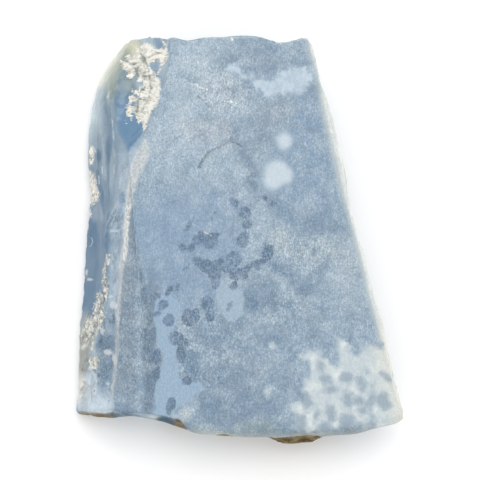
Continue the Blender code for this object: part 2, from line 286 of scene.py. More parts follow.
# Thin pale rims of small breaks, and small pale faces low on the left; some of both are painted glints
CHIP_RIMS_AND_GLINTS = [
    ([(94.5, 148), (96, 152)], 0.6), ([(97, 187), (99, 192)], 0.6), ([(84.5, 268), (84.5, 275)], 0.5),
    ([(89, 237), (92, 238), (93, 242), (91, 246), (88.5, 246)], 0.2), ([(112, 230.5), (118, 231)], 0.6),
    ([(112.5, 121), (112.8, 127)], 0.3), ([(113.2, 132), (114, 140)], 0.4),
    ([(102.5, 167), (103, 173)], 0.5), ([(114.5, 165), (114, 173)], 0.4), ([(101, 131), (102.5, 136)], 0.4),
    ([(108, 98), (110, 92)], 0.6), ([(98.5, 176), (99.5, 184)], 0.3),
    ([(107, 225), (114, 209), (117, 203)], 0.15), ([(111, 225), (117, 212), (120, 205)], 0.15),
    ([(97, 399), (99, 402)], 0.5), ([(102, 402), (104, 399)], 0.5),
    ([(97, 411.5), (104, 413), (112, 411)], 0.6), ([(181, 414), (184, 420), (187, 424)], 1.2),
]
PALE_FACES_AND_GLINTS = [
    (90, 279.3, 2.6, 1.5), (114, 305, 3, 4.5, 10), (102.6, 331, 2, 3.6), (108.5, 352.5, 5, 2.8, 15),
    (114.5, 360, 2.4, 6, -8), (87, 273, 1.2, 3), (111, 297, 2, 1.6), (107.5, 384, 1.5, 1.5),
    (95, 391, 2.5, 4.5), (85, 346, 1.6, 3, 30), (91, 368, 2.4, 2.4), (118, 394, 2.2, 3.4, 15),
]

TOP_EDGE = [
    (150, 44.5), (165, 40), (178, 37), (188, 38.5), (200, 36.5), (225, 37), (245, 36), (262, 36.5),
    (268, 38.5), (277, 42.5), (290, 41), (302, 37.5), (309, 38.5),
]
LEFT_RIM = [(111, 56), (104, 66), (99, 76), (94.5, 87), (91.5, 100), (90, 116)]
CORNER = (399, 416, 10, 14)
# Pairs of rows, to be read between: where the right and the bottom edge are, how wide the pale right rim
# is (a painted glow of its thin edge), and, in millimetres above the underside, how far down the front the
# sawn look reaches and how high the tan skin climbs it
RIGHT_EDGE = ([44, 76, 100, 132, 164, 196, 228, 260, 292, 324, 356, 388, 404, 419],
              [312, 321, 326, 333, 341, 348, 356, 365, 372, 381, 388, 396, 400, 405])
BOTTOM_EDGE = ([150, 190, 232, 280, 308, 342, 376, 400], [420, 430, 436, 437, 437, 435, 430, 424])
RIM_WIDTH = ([44, 130, 250, 360, 420], [6, 9, 7, 8, 12])
FRONT_EDGE_DEPTH = ([118, 135, 155, 158, 178, 190, 240, 330, 405], [14.6, 13.6, 12.6, 15.4, 15.4, 9, 8, 8, 4])
SKIN_HEIGHT = ([78, 90, 112, 125, 168, 182, 198, 217, 225, 234, 252, 266, 292, 320, 338, 362, 404],
               [-4, 2, 2.5, -1, 0.5, 6.5, 3, 5.5, 9.5, 6, 4.5, 6.5, 8, 7.5, 3.5, 1.5, -3])
RIND = [
    (258, 441), (270, 437.5), (280, 436.5), (296, 435.5), (310, 434.5), (323, 436), (327, 440), (320, 446),
    (308, 450), (270, 448),
]
RIND_STREAKS = [
    ([(214, 436.2), (221, 434.6), (228, 435.2), (235, 437.6)], 1.3),
    ([(80, 413), (88, 414.8), (100, 415.6), (113, 415.8)], 2.4), ([(178, 420), (182, 424), (186, 429)], 2),
]
# Where the mesh is fine on the sawn face, and from where on it is fine on the left side: at these y, these x
FINE_AREAS = [
    [(150, 190), (285, 190), (285, 300), (215, 420), (148, 420)],
    [(295, 340), (400, 340), (412, 430), (290, 440)],
]
FINE_LEFT = ([130, 210, 420], [165, 142, 126])

# Single pixels, and pairs between which a look fades. These are counted across the photograph:
LOOSE_CRUST = (137, 147)  # left of this the crust's edge is loose
SECOND_CUT_END = (148, 156)
LOW_RIM_START = (186, 200)
CLOUDED_FRONT = (315, 350)
WORN_START, RIDGE_END = 118, 152
# These are counted down:
CRUST_PARTS = 140  # the upper crust ends above this, and the band of crust starts below it
LOW_CRUST = (240, 270)
DARK_FOLD = (190, 290)
BLUER_CUT = (370, 420)
CHIP_SHADE = (78, 125)
YELLOW_END, CYAN_START = (80, 100), (80, 95)
CREAM_CORNER = (310, 350)
FRONT_START, WORN_TOP, LEFT_END, RIGHT_END = 404, 405, 416, 425

# ---------------- colours, as seen in the photograph

LIGHT_LEVEL = 1.205  # what a white matt surface facing up shows
GLOSS_LEVEL = 0.035  # what the gloss of the sawn faces adds
LEFT_GLOSS = 0.09  # what the gloss of the broken left side adds
RIND_GLOSS = 0.07  # what the rind, seen along its face, adds

MAIN = (157, 177, 194)
MIST = (185, 201, 213)
WARM = (187, 194, 202)
LAVENDER = (150, 172, 194)
SLATE = (137, 157, 176)
DEEP = (122, 146, 168)
WALL_SLATE = (84, 103, 118)
BLUE = (149, 171, 192)
GREY = (158, 173, 186)
SAGE = (179, 193, 202)
FROST = (198, 209, 217)
# These two are painted glow of light through the thin edges; the cream one also colours the painted glints of
# the sawn face
PALE_EDGE_GLOW = (208, 216, 214)
PAINTED_LIGHT_CREAM = (231, 234, 230)
CORNER_CREAM = (231, 231, 218)
RIM_GREEN = (192, 198, 190)
GREEN_GREY = (160, 169, 166)
EDGE_GREEN = (140, 158, 166)
EDGE_DARK = (130, 138, 136)
EDGE_CREAM = (190, 192, 184)
HAZE_BLUE = (200, 215, 227)
BLOB_WHITE = (206, 219, 228)
PATCH_BLUE = (172, 192, 208)
CLOUD_WHITE = (205, 216, 220)
CLOUD_BRIGHT = (226, 233, 233)
CLOUD_WARM = (222, 224, 217)
CLOUD_CELL = (154, 171, 185)
STRIP_BLUE = (162, 185, 206)
SPOT_SLATE = (111, 133, 156)
CUT_GREY = (146, 162, 176)
CUT_DARK = (118, 138, 156)
FLUTE = (146, 164, 180)
# Painted shade for the flutes' grooves, then painted highlight streaks for the flutes
FLUTE_SHADE = (126, 147, 167)
FLUTE_HIGHLIGHT = (170, 187, 199)
FACET = (121, 145, 168)
CHIP_BLUE = (117, 150, 179)
CHIP_GREY = (136, 156, 170)
# This olive and the yellow two lines down are painted glow of light through the thin upper left edge
EDGE_GLOW_OLIVE = (224, 224, 204)
OLIVE_GREY = (160, 173, 168)
EDGE_GLOW_YELLOW = (252, 249, 226)
CYAN = (204, 220, 226)
ROUGH_BLUE = (174, 192, 208)
LOWER_PALE = (214, 227, 237)
BEIGE = (176, 175, 164)
CREAM = (252, 250, 243)
CRUST_MID = (212, 212, 204)
# Painted shade for the crust's seams and hollows, then a warm tint of painted highlight for its cream
CRUST_SHADE = (150, 158, 156)
CRUST_WARM_HIGHLIGHT = (244, 238, 224)
# Small pale faces and rims, partly painted glints
PALE_FACE_AND_GLINT = (216, 223, 227)
BREAK = (150, 170, 188)
BREAK_PALE = (176, 193, 205)
RIDGE_CREAM = (228, 226, 219)
RIND_TAN = (134, 121, 95)
RIND_PALE = (166, 154, 127)
RIND_DARK = (98, 88, 68)

# Soft strokes, in the order that they are laid on: (colour, strength, ellipse). These are on the sawn faces.
SAWN_STROKES = [
    (MIST, 0.9, 190, 62, 26, 26), (MIST, 0.5, 205, 48, 30, 12), (MIST, 0.5, 190, 95, 34, 30),
    (MIST, 0.8, 180, 130, 34, 26), (WARM, 0.6, 208, 130, 28, 13), (FROST, 0.8, 225, 92, 24, 18),
    (MIST, 0.6, 240, 108, 16, 8, 10), (MIST, 0.4, 160, 170, 22, 40), (MIST, 0.75, 225, 174, 34, 26),
    (GREY, 0.6, 250, 57, 36, 9, 5), (SLATE, 0.45, 262, 69, 20, 7, 5), (SLATE, 0.6, 228, 62, 10, 8),
    (GREY, 0.7, 238, 94, 12, 7, 20), (GREY, 0.8, 275, 112, 26, 14), (SLATE, 0.8, 313, 92, 9, 14),
    (BLUE, 0.8, 308, 120, 12, 26), (GREY, 0.5, 262, 140, 14, 20), (BLUE, 0.8, 302, 165, 24, 40),
    (SLATE, 0.7, 236, 135, 6, 9), (SLATE, 1, 250, 170, 6, 27, -22), (SLATE, 0.7, 272, 203, 10, 8),
    (BLUE, 0.7, 300, 203, 34, 18), (SLATE, 0.6, 322, 226, 20, 18), (SLATE, 0.7, 292, 214, 9, 7, 20),
    (MIST, 0.6, 262, 222, 14, 20), (SAGE, 1, 278, 238, 14, 12), (MIST, 0.6, 255, 245, 8, 12),
    (SAGE, 1, 318, 250, 30, 13), (SAGE, 0.6, 352, 262, 14, 20), (LAVENDER, 1, 165, 238, 42, 46),
    (LAVENDER, 0.8, 212, 205, 34, 20), (LAVENDER, 0.8, 220, 245, 22, 22), (LAVENDER, 0.9, 180, 285, 36, 24),
    (DEEP, 0.8, 279, 270, 11, 9), (SLATE, 0.9, 303, 292, 13, 14), (DEEP, 1, 252, 302, 10, 14),
    (SLATE, 0.8, 262, 282, 12, 8), (SLATE, 0.6, 275, 305, 12, 16), (SLATE, 0.7, 243, 326, 10, 8),
    (SAGE, 0.35, 350, 295, 18, 40, -10), (DEEP, 0.5, 270, 335, 14, 9), (SLATE, 0.5, 310, 328, 14, 11),
    (MAIN, 0.6, 288, 320, 12, 10), (SLATE, 0.5, 250, 380, 12, 10), (SLATE, 0.35, 215, 345, 32, 26),
    (MAIN, 0.5, 203, 362, 14, 26), (SLATE, 0.7, 225, 378, 26, 20), (DEEP, 0.8, 190, 365, 8, 20),
    (SLATE, 0.7, 250, 400, 28, 14), (DEEP, 0.8, 221, 405, 16, 8), (DEEP, 0.6, 203, 400, 9, 10),
    (SLATE, 0.9, 235, 419, 46, 8), (SLATE, 0.5, 287, 385, 10, 20), (SLATE, 0.6, 302, 395, 5, 12),
    (GREY, 0.5, 260, 365, 16, 12), (MIST, 0.35, 290, 325, 14, 12), (MIST, 0.35, 204, 358, 12, 14),
    (CUT_DARK, 0.95, 151, 335, 8, 60), (CUT_DARK, 0.7, 151, 385, 8, 30),
]
# These are on the broken left side. The dark flute strokes are painted shade in the flutes' grooves, the pale
# flute strokes painted highlight streaks, mostly on their crests, and the olive strokes painted glow of light
# through the thin upper left edge.
LEFT_STROKES = [
    (FLUTE, 1, 104, 140, 22, 90), (FLUTE_HIGHLIGHT, 0.7, 100, 108, 4, 26, 4),
    (FLUTE_HIGHLIGHT, 0.9, 104.5, 160, 2.6, 40, -1), (FLUTE_HIGHLIGHT, 0.6, 98, 138, 3.5, 14),
    (FLUTE_HIGHLIGHT, 0.6, 112, 112, 2.6, 30, -6), (FLUTE_HIGHLIGHT, 0.4, 118, 135, 4, 24, -8),
    (FLUTE_SHADE, 0.7, 107.5, 112, 2.4, 20, -8), (FLUTE_SHADE, 0.9, 109, 150, 2.4, 20, 2),
    (FLUTE_SHADE, 0.5, 107, 190, 2, 20, 3), (FLUTE_SHADE, 1, 97.5, 156, 2.2, 7),
    (FLUTE_SHADE, 1, 98.5, 182, 2, 12, -12), (FLUTE_SHADE, 0.6, 102, 200, 3, 10, -10),
    (EDGE_GLOW_OLIVE, 1, 130, 50, 14, 12), (OLIVE_GREY, 1, 122, 66, 8, 18, 20), (CHIP_GREY, 1, 126, 88, 11, 18),
    (OLIVE_GREY, 1, 113, 80, 6, 22, 12), (FACET, 1, 97, 250, 14, 60), (FACET, 0.9, 88, 300, 10, 40),
    (FLUTE, 0.7, 102, 222, 5, 14), (ROUGH_BLUE, 0.9, 122, 200, 9, 44, 5),
    (BREAK_PALE, 0.9, 128, 160, 9, 14), (FACET, 0.7, 123, 197, 3, 8), (FACET, 0.7, 111, 242, 3, 6),
    (ROUGH_BLUE, 0.7, 114, 270, 7, 40), (FLUTE, 0.8, 108, 335, 10, 30), (DEEP, 0.9, 106, 343, 8, 8),
    (DEEP, 0.6, 105, 372, 9, 20), (FACET, 0.6, 112, 316, 4, 10), (BEIGE, 0.8, 84, 345, 7, 24),
    (BEIGE, 0.8, 82, 375, 6, 16), (LOWER_PALE, 0.6, 92, 382, 8, 10), (LOWER_PALE, 1, 90, 402, 13, 12),
    (LOWER_PALE, 0.8, 105, 405, 9, 8), (CREAM, 0.7, 80, 388, 8, 14), (CYAN, 0.6, 91, 122, 6, 26, 2),
    (FLUTE_HIGHLIGHT, 1, 111.5, 170, 3, 22, 2), (FLUTE_HIGHLIGHT, 0.6, 94, 214, 4, 8),
    (FACET, 0.7, 101, 232, 4.5, 11), (FLUTE, 0.5, 90, 265, 6, 20), (FLUTE_SHADE, 0.5, 103, 186, 3, 9),
    (FLUTE_SHADE, 0.6, 118, 215, 5, 8), (CHIP_BLUE, 0.6, 120, 106, 4, 12), (OLIVE_GREY, 0.6, 130, 84, 6, 9),
    (EDGE_GLOW_OLIVE, 0.8, 104, 66, 5, 16, 30), (CRUST_MID, 0.4, 86, 328, 6, 16),
]
# These are on the broken front side. The pale cream strokes at the lower right are painted glow of the thin
# edge.
FRONT_STROKES = [
    (BEIGE, 0.9, 92, 413, 15, 3, 2), (RIND_TAN, 1, 92, 417, 20, 3.6, 2),
    (WALL_SLATE, 0.8, 124, 415, 14, 5, 2), (GREY, 0.8, 145, 414, 8, 5),
    (WALL_SLATE, 1, 167, 421, 13, 6, 12), (RIND_TAN, 1, 180, 425, 8, 5, 40),
    (CREAM, 0.8, 184, 419, 3, 8, -30), (SAGE, 0.9, 200, 433, 16, 4, 5),
    (RIND_TAN, 0.8, 224, 435, 8, 2.2, 5), (GREY, 0.8, 245, 437, 14, 3),
    (RIM_GREEN, 0.9, 300, 434, 44, 2.4, -3), (PAINTED_LIGHT_CREAM, 0.9, 370, 431, 42, 5, -10),
    (BEIGE, 0.7, 345, 434, 20, 2.4, -8), (PAINTED_LIGHT_CREAM, 0.9, 397, 424, 12, 6, -20),
]
# These go over everything along the front edge. The rim's pale strokes are painted glow of the thin edge.
EDGE_STROKES = [
    (WALL_SLATE, 0.5, 125, 413.5, 9, 3, 5), (PALE_EDGE_GLOW, 0.75, 154, 417, 6, 2, 10),
    (WALL_SLATE, 1, 166, 421, 9, 3.2, 12), (PALE_EDGE_GLOW, 0.5, 186, 414, 7, 8, 30),
    (SAGE, 0.6, 206, 427, 13, 5, 15), (EDGE_GREEN, 0.95, 258, 428, 24, 8),
    (EDGE_GREEN, 0.7, 302, 422, 12, 4), (EDGE_DARK, 0.7, 312, 433, 24, 2.6),
    (EDGE_DARK, 1, 350, 430, 15, 3.2, -8), (EDGE_CREAM, 0.9, 381, 428, 16, 3, -14),
    (EDGE_CREAM, 0.5, 212, 434, 18, 1.6, 8),
]

# ---------------- reading the photograph's frame


def pixels_of(points):
    """Where points of the stone, an array of rows in millimetres, land in the photograph."""
    away = points - np.array(CAMERA_PLACE)
    depth = away @ np.array(SIGHT)
    right = FOCAL_PIXELS * away[:, 0] / depth
    up = FOCAL_PIXELS * (away @ np.array(SIGHT_UP)) / depth
    return np.stack((PHOTO_SIDE / 2 + right, PHOTO_SIDE / 2 - up), axis=1)


def along_line(spots, line):
    """How far along an open line each spot's nearest point is, and the way from there to the spot."""
    corners = np.array(line, float)
    nearest = np.full(len(spots), np.inf)
    run = np.zeros(len(spots))
    away = np.zeros((len(spots), 2))
    passed = 0
    for start, end in zip(corners, corners[1:]):
        step = end - start
        share = np.clip((spots - start) @ step / (step @ step), 0, 1)
        offset = spots - start - share[:, None] * step
        distance = np.hypot(*offset.T)
        closer = distance < nearest
        length = np.hypot(*step)
        nearest[closer], away[closer] = distance[closer], offset[closer]
        run[closer] = passed + length * share[closer]
        passed += length
    return run, away


def to_line(spots, line):
    """The distance from each spot to an open line through some points."""
    return np.hypot(*along_line(spots, line)[1].T)


def ridge_along(spots, line, width):
    """1 on a line, falling smoothly away on both sides."""
    return np.exp(-((to_line(spots, line) / width) ** 2))


def into_area(spots, area):
    """How far each spot is inside a closed area: below zero outside it."""
    corners = np.array(area, float)
    x, y = spots.T
    inside = np.zeros(len(spots), bool)
    for (x1, y1), (x2, y2) in zip(corners, np.roll(corners, -1, axis=0)):
        if y1 != y2:
            inside ^= ((y1 > y) != (y2 > y)) & (x < x1 + (y - y1) * (x2 - x1) / (y2 - y1))
    distance = to_line(spots, np.vstack((corners, corners[:1])))
    return np.where(inside, distance, -distance)


def ellipse_reach(spots, x, y, half_width, half_height, turn=0):
    """0 at the middle of a turned ellipse, 1 on its edge."""
    angle = math.radians(turn)
    away = spots - np.array((x, y), float)
    along = away @ np.array((math.cos(angle), math.sin(angle))) / half_width
    across = away @ np.array((-math.sin(angle), math.cos(angle))) / half_height
    return np.hypot(along, across)


def into_ellipse(spots, x, y, half_width, half_height, turn=0):
    """Roughly how far each spot is inside a turned ellipse, in pixels."""
    return (1 - ellipse_reach(spots, x, y, half_width, half_height, turn)) * min(half_width, half_height)


def deepest(spots, areas=(), ellipses=(), lines=()):
    """How far each spot is inside the one of some areas, ellipses and broad lines that it is deepest in."""
    depths = [into_area(spots, area) for area in areas]
    depths += [into_ellipse(spots, *mark) for mark in ellipses]
    depths += [width - to_line(spots, line) for line, width in lines]
    return np.maximum.reduce(depths)


def smooth(value, low, high):
    """0 up to low, 1 from high on, with a smooth rise between them."""
    share = np.clip((value - low) / (high - low), 0, 1)
    return share * share * (3 - 2 * share)


def fall(value, low, high):
    """1 up to low, 0 from high on, with a smooth fall between them."""
    return smooth(-value, -high, -low)


# ---------------- the stone's mesh


def added(name, data):
    """A new object in the scene."""
    obj = bpy.data.objects.new(name, data)
    bpy.context.scene.collection.objects.link(obj)
    return obj


def solid_shape(obj):
    """The CAD solid's mesh with its corners joined, in millimetres."""
    shape = bmesh.new()
    shape.from_mesh(obj.data)
    bmesh.ops.scale(shape, vec=(1 / MM,) * 3, verts=shape.verts)
    bmesh.ops.remove_doubles(shape, verts=shape.verts, dist=1e-4)
    return shape


def remeshed(obj):
    """A new mesh of even squares over the solid, in millimetres."""
    copy = added("remesh", obj.data.copy())
    copy.modifiers.new("weld", "WELD").merge_threshold = 1e-7
    voxels = copy.modifiers.new("voxels", "REMESH")
    voxels.mode = "VOXEL"
    voxels.voxel_size = VOXEL * MM
    evaluated = copy.evaluated_get(bpy.context.evaluated_depsgraph_get())
    shape = bmesh.new()
    shape.from_mesh(bpy.data.meshes.new_from_object(evaluated))
    bpy.data.objects.remove(copy)
    bmesh.ops.scale(shape, vec=(1 / MM,) * 3, verts=shape.verts)
    return shape


def places(shape):
    """The corners of a bmesh, as rows."""
    return np.array([vert.co for vert in shape.verts])


def sharp_points(solid, spacing, picked):
    """A tree of points along those edges of the solid that picked() takes."""
    spots = []
    for edge in solid.edges:
        if len(edge.link_faces) == 2 and picked(edge):
            start, end = (vert.co for vert in edge.verts)
            count = max(1, math.ceil((end - start).length / spacing))
            spots += [start.lerp(end, i / count) for i in range(count)]
    tree = KDTree(len(spots))
    for i, spot in enumerate(spots):
        tree.insert(spot, i)
    tree.balance()
    return tree


def is_sawn(face):
    """Whether a face of the solid lies in one of the two upper saw cuts."""
    level = face.normal.z > SAWN_FALL and face.calc_center_median().z > STONE_TOP - 0.05
    return level or face.normal.dot(SECOND_CUT_FACING) > SAWN_FALL


def is_sharp(edge):
    return edge.calc_face_angle(0) > SHARP_EDGE


def is_rim(edge):
    """Whether an edge parts a sawn face from a broken one."""
    first, second = edge.link_faces
    return is_sawn(first) != is_sawn(second)


def settle(shape, surface, edges):
    """Moves each corner to the solid's surface, and onto a sharp edge that is very near."""
    for vert in shape.verts:
        vert.co = surface.find_nearest(vert.co)[0]
        spot, _, distance = edges.find(vert.co)
        if distance < SNAP_REACH:
            vert.co = spot


def split_where(shape, wanted):
    """Splits every triangle edge that has a wanted corner."""
    chosen = [edge for edge in shape.edges if any(wanted[vert.index] for vert in edge.verts)]
    bmesh.ops.subdivide_edges(shape, edges=chosen, cuts=1, use_grid_fill=True)
    bmesh.ops.triangulate(shape, faces=shape.faces, quad_method="BEAUTY", ngon_method="BEAUTY")
    shape.verts.index_update()


def close_underside(shape):
    """Puts one flat face in place of the even squares inside the border of the lower saw cut."""
    height = VOXEL * 0.3
    low = [vert for vert in shape.verts if vert.co.z < height]
    rim = KDTree(len(shape.verts))
    for vert in shape.verts:
        if height <= vert.co.z < 3 * VOXEL:
            rim.insert(vert.co, vert.index)
    rim.balance()
    inner = [vert for vert in low if rim.find(vert.co)[2] > UNDERSIDE_BORDER]
    bmesh.ops.delete(shape, geom=inner, context="VERTS")
    bmesh.ops.holes_fill(shape, edges=[edge for edge in shape.edges if edge.is_boundary], sides=0)


def fine_first(spots, rim_distance, height):
    """Where the mesh is split once: round the marks, the rims and the left side."""
    left = (spots[:, 0] < np.interp(spots[:, 1], *FINE_LEFT)) & (height > 1)
    hairlines = deepest(spots, lines=CRACKS + PALE_SCRATCHES_AND_GLINTS) + FINE_MARGIN
    marks = np.maximum(deepest(spots, FINE_AREAS), hairlines) > 0
    return left | (rim_distance < RIM_REACH) | (marks & (height > STONE_TOP - 0.5))


def fine_second(spots, height):
    """Where the mesh is split again: on the crumbly parts of the left side and on the hairlines."""
    areas = [CRUST, CRUST_BAND, ROUGH_ZONE, RIDGE_BAND, *CREAM_CHIPS]
    crumbs = deepest(spots, areas, PALE_FACES_AND_GLINTS, CRUST_STRANDS + CHIP_RIMS_AND_GLINTS + CRACKS + PALE_SCRATCHES_AND_GLINTS)
    crumbs = np.maximum(crumbs, into_area(spots, SMALL_FACES) - 2)
    return (crumbs > -FINE_MARGIN / 2) & (height > 3)


def worn_front(corners, spots, sawn):
    """The distance into the sawn faces, which reach a little way over the worn front edge."""
    x, y = spots.T
    depth = np.interp(x, *FRONT_EDGE_DEPTH) + 2.2 * waves(corners, 1.8, 31, 4)
    over = 0.06 * (corners[:, 2] - np.minimum(depth, STONE_TOP + 0.4))
    front = (corners[:, 1] < WORN_FRONT) & (y > WORN_TOP) & (x > WORN_START)
    rind = deepest(spots, [RIND], lines=RIND_STREAKS)
    return np.where(front & (rind < 0.5), np.maximum(sawn, np.minimum(over, 0.5)), sawn)


def past_ridge(spots, sawn):
    """The distance into the sawn faces, where the second cut ends at its ridge."""
    x, y = spots.T
    ridge_x, ridge_y = np.array(RIDGE, float).T
    beside = (x < RIDGE_END) & (y > ridge_y[0])
    return np.where(beside, np.minimum(sawn, 0.15 * (x - np.interp(y, ridge_y, ridge_x))), sawn)


def stone_shape(node):
    """The stone's mesh before its fine relief, and how far each corner is inside the sawn faces."""
    solid = solid_shape(node)
    surface = BVHTree.FromBMesh(solid)
    edges = sharp_points(solid, 0.08, is_sharp)
    rims = sharp_points(solid, 0.15, is_rim)
    shape = remeshed(node)
    close_underside(shape)
    bmesh.ops.triangulate(shape, faces=[face for face in shape.faces if len(face.verts) < 5])
    settle(shape, surface, edges)
    shape.verts.index_update()
    corners = places(shape)
    from_rim = np.array([rims.find(vert.co)[2] for vert in shape.verts])
    split_where(shape, fine_first(pixels_of(corners), from_rim, corners[:, 2]))
    settle(shape, surface, edges)
    corners = places(shape)
    split_where(shape, fine_second(pixels_of(corners), corners[:, 2]))
    settle(shape, surface, edges)
    solid.faces.ensure_lookup_table()
    sawn = []
    for vert in shape.verts:
        face = solid.faces[surface.find_nearest(vert.co)[2]]
        distance = rims.find(vert.co)[2]
        sawn.append(distance if is_sawn(face) else -distance)
    solid.free()
    return shape, np.array(sawn)


# ---------------- relief


def waves(corners, size, shift=0, octaves=1):
    """Noise at each corner, with features of this size: about -1 to 1."""
    offset = Vector((shift, 0.4 * shift, 0.7 * shift))
    if octaves > 1:
        return np.array([noise.fractal(Vector(p) / size + offset, 0.7, 2.1, octaves) for p in corners])
    return np.array([noise.noise(Vector(p) / size + offset) for p in corners])


def two_waves(corners, size, first, second, octaves=1):
    """Two noises as the columns of one array, to push pixels about."""
    return np.stack([waves(corners, size, shift, octaves) for shift in (first, second)], axis=1)


def shards_of(corners, size, lean):
    """Small flat chips: their height, their own tone and how far each corner is from a crack, all about 1."""
    rows = []
    for corner in corners:
        spot = Vector(corner) / size
        (nearest, second, _, _), (middle, _, _, _) = noise.voronoi(spot)
        tilt = noise.cell_vector(middle * 9.7) - Vector((0.5, 0.5, 0.5))
        tone = noise.cell(middle * 5.3)
        rows.append((0.5 * tone + lean * (spot - middle).dot(tilt), tone, second - nearest))
    return np.array(rows).reshape(-1, 3).T


def bent(corners, size, amount):
    """The corners pushed about by noise, so that what is laid over them loses its straight lines."""
    return corners + amount * np.stack([waves(corners, size, shift) for shift in (3, 12, 21)], axis=1)


def crust_share(corners, spots):
    """How far each spot is inside the crust, in pixels."""
    unsteady = spots + 1.6 * two_waves(corners, 0.9, 2, 3)
    slant = waves(corners @ SLANT / 0.8, 1, 2) + 0.7 * waves(corners @ SLANT / 0.4, 1, 3)
    loose = fall(spots[:, 0], *LOOSE_CRUST) * (1 + 4 * waves(corners, 0.8, 12, 2))
    inside = np.maximum.reduce([
        into_area(spots, CRUST) - loose, into_area(spots, CRUST_BAND) - 4.2 + 6.5 * slant,
        deepest(unsteady, lines=CRUST_STRANDS), deepest(spots, CREAM_CHIPS),
    ])
    opening = deepest(spots, ellipses=CRUST_OPENINGS)
    return np.clip(np.minimum(inside, -opening), -FIELD_REACH, FIELD_REACH)


def strands_of(corners, spots):
    """Each corner in a frame with long fibres of crust: fanning from its spine, or slanting down its band."""
    run, away = along_line(spots + 2 * two_waves(corners, 1.5, 5, 6), CRUST_SPINE)
    turn = np.arctan2(away[:, 1], away[:, 0])
    fan = np.stack((0.5 * run, 5 * np.cos(turn), 5 * np.sin(turn) + 0.1 * np.hypot(*away.T)), axis=1)
    return np.where(spots[:, 1:] < CRUST_PARTS, fan, bent(corners, 1.1, 0.6) @ SLANT / 0.6)


def crust_height(corners, spots, strands):
    """The height of the crumbly crust: fine fibres over small chips."""
    fibre = waves(strands, 1.2) + 0.7 * waves(strands, 0.5)
    coarse = shards_of(bent(corners, 1.1, 0.6), 1.3, 1.8)[0]
    fine = shards_of(bent(corners, 0.5, 0.3), 0.6, 1.8)[0]
    rugged = 1 + 1.3 * (spots[:, 1] > CRUST_PARTS)
    chips = 0.24 * coarse + 0.18 * fine + 0.24 * waves(corners, 0.6, 4, 4)
    height = 0.5 + 0.5 * fibre + rugged * chips
    unsteady = spots + 1.3 * two_waves(corners, 0.9, 8, 9)
    # The crust's colour follows this height: the whitest parts and the pale lobe edges rise into painted
    # highlight, the seams and hollows sink into painted shade
    white = smooth(deepest(spots, CRUST_HIGHLIT), -2.5, 2.5)
    dark = smooth(deepest(unsteady, lines=CRUST_SHADED_SEAMS), -0.7, 0.6)
    pale = smooth(deepest(unsteady, lines=CRUST_LIT_RIMS), -1.2, 0.6)
    shaded_hollow = smooth(deepest(unsteady, ellipses=CRUST_SHADED_HOLLOWS), -1, 1.5)
    low = smooth(spots[:, 1], *LOW_CRUST)
    return height + 0.34 * white + 0.5 * pale - 0.45 * dark - 0.5 * shaded_hollow - 0.38 * low


def relief_of(corners, spots, sawn, strands):
    """How far the fine relief moves each corner outwards, in millimetres, and the fields that go with it."""
    relief, lumps, tone = np.zeros((3, len(corners)))
    broken = smooth(-sawn, 0, 0.6)
    seen = (spots[:, 0] < LEFT_SIDE) & (corners[:, 2] > LOW)
    chosen = np.where((broken > 0) & (corners[:, 2] > 0.3))[0]
    wall = corners[chosen]
    relief[chosen] += broken[chosen] * (0.1 * waves(wall, 2.4) + 0.05 * waves(wall, 0.9))
    height, face, gap = shards_of(bent(wall, 3, 1.2) * np.array((1, 1, 0.7)), 2.8, 1.6)
    rugged = broken[chosen] * ~seen[chosen]
    relief[chosen] += rugged * 0.16 * height
    tone[chosen] += rugged * (0.07 * face - 0.06 * smooth(0.12 - gap, 0, 0.12))
    crust = smooth(crust_share(corners, spots), -2, 1.2) * smooth(-sawn, -0.1, 0.3) * seen
    chosen = np.where(crust > 0)[0]
    lumps[chosen] = crust_height(corners[chosen], spots[chosen], strands[chosen])
    relief[chosen] += crust[chosen] * 0.27 * (np.clip(lumps[chosen], -0.4, 1.3) - 0.4)
    for line, width in CHIP_RIMS_AND_GLINTS:
        relief += 0.1 * ridge_along(spots, line, 1.6 * width + 0.3) * broken * seen
    relief += 0.14 * smooth(deepest(spots, ellipses=PALE_FACES_AND_GLINTS), -1.5, 1) * broken * seen
    for line, width, height in FLUTES:
        relief += height * ridge_along(spots, line, width) * broken * seen
    for area, size, depth, stretch in ((ROUGH_ZONE, 0.75, 0.12, 0.45), (SMALL_FACES, 1.9, 0.24, 0.7)):
        share = smooth(into_area(spots, area), -1, 2.5) * broken * seen * (1 - crust)
        chosen = np.where(share > 0)[0]
        pushed = bent(corners[chosen], 1.2 * size, 0.4 * size) * np.array((1, stretch, 0.8))
        height, face, gap = shards_of(pushed, size, 1.2)
        relief[chosen] += share[chosen] * depth * (height - 0.3 * smooth(0.16 - gap, 0, 0.16))
        tone[chosen] += share[chosen] * (0.2 * face - 0.1 * smooth(0.1 - gap, 0, 0.1))
    return relief, lumps, tone


def shape_relief(shape, relief):
    """Moves the corners of the shape along their normals."""
    shape.normal_update()
    moves = [vert.normal * amount for vert, amount in zip(shape.verts, relief)]
    for vert, move in zip(shape.verts, moves):
        vert.co += move


# ---------------- colours of the stone


def linear(colour):
    """A displayed colour, 0 to 255, as linear light."""
    share = np.array(colour, float) / 255
    return np.where(share <= 0.04045, share / 12.92, ((share + 0.055) / 1.055) ** 2.4)


def base_of(colour, gloss=GLOSS_LEVEL):
    """The base colour that shows as this colour under the scene's light."""
    return np.clip((linear(colour) - gloss) / LIGHT_LEVEL, 0.004, 1)


def layers_over(paint, layers, gloss=GLOSS_LEVEL):
    """Lays colours over the paint of each corner, each by its weight there."""
    for colour, weight in layers:
        paint = paint + weight[:, None] * (base_of(colour, gloss) - paint)
    return paint


def strokes_over(paint, spots, strokes, where, gloss=GLOSS_LEVEL):
    """Lays soft strokes over the paint."""
    for colour, strength, *ellipse in strokes:
        weight = strength * smooth(1.5 - ellipse_reach(spots, *ellipse), 0, 1.1) * where
        paint = layers_over(paint, [(colour, weight)], gloss)
    return paint


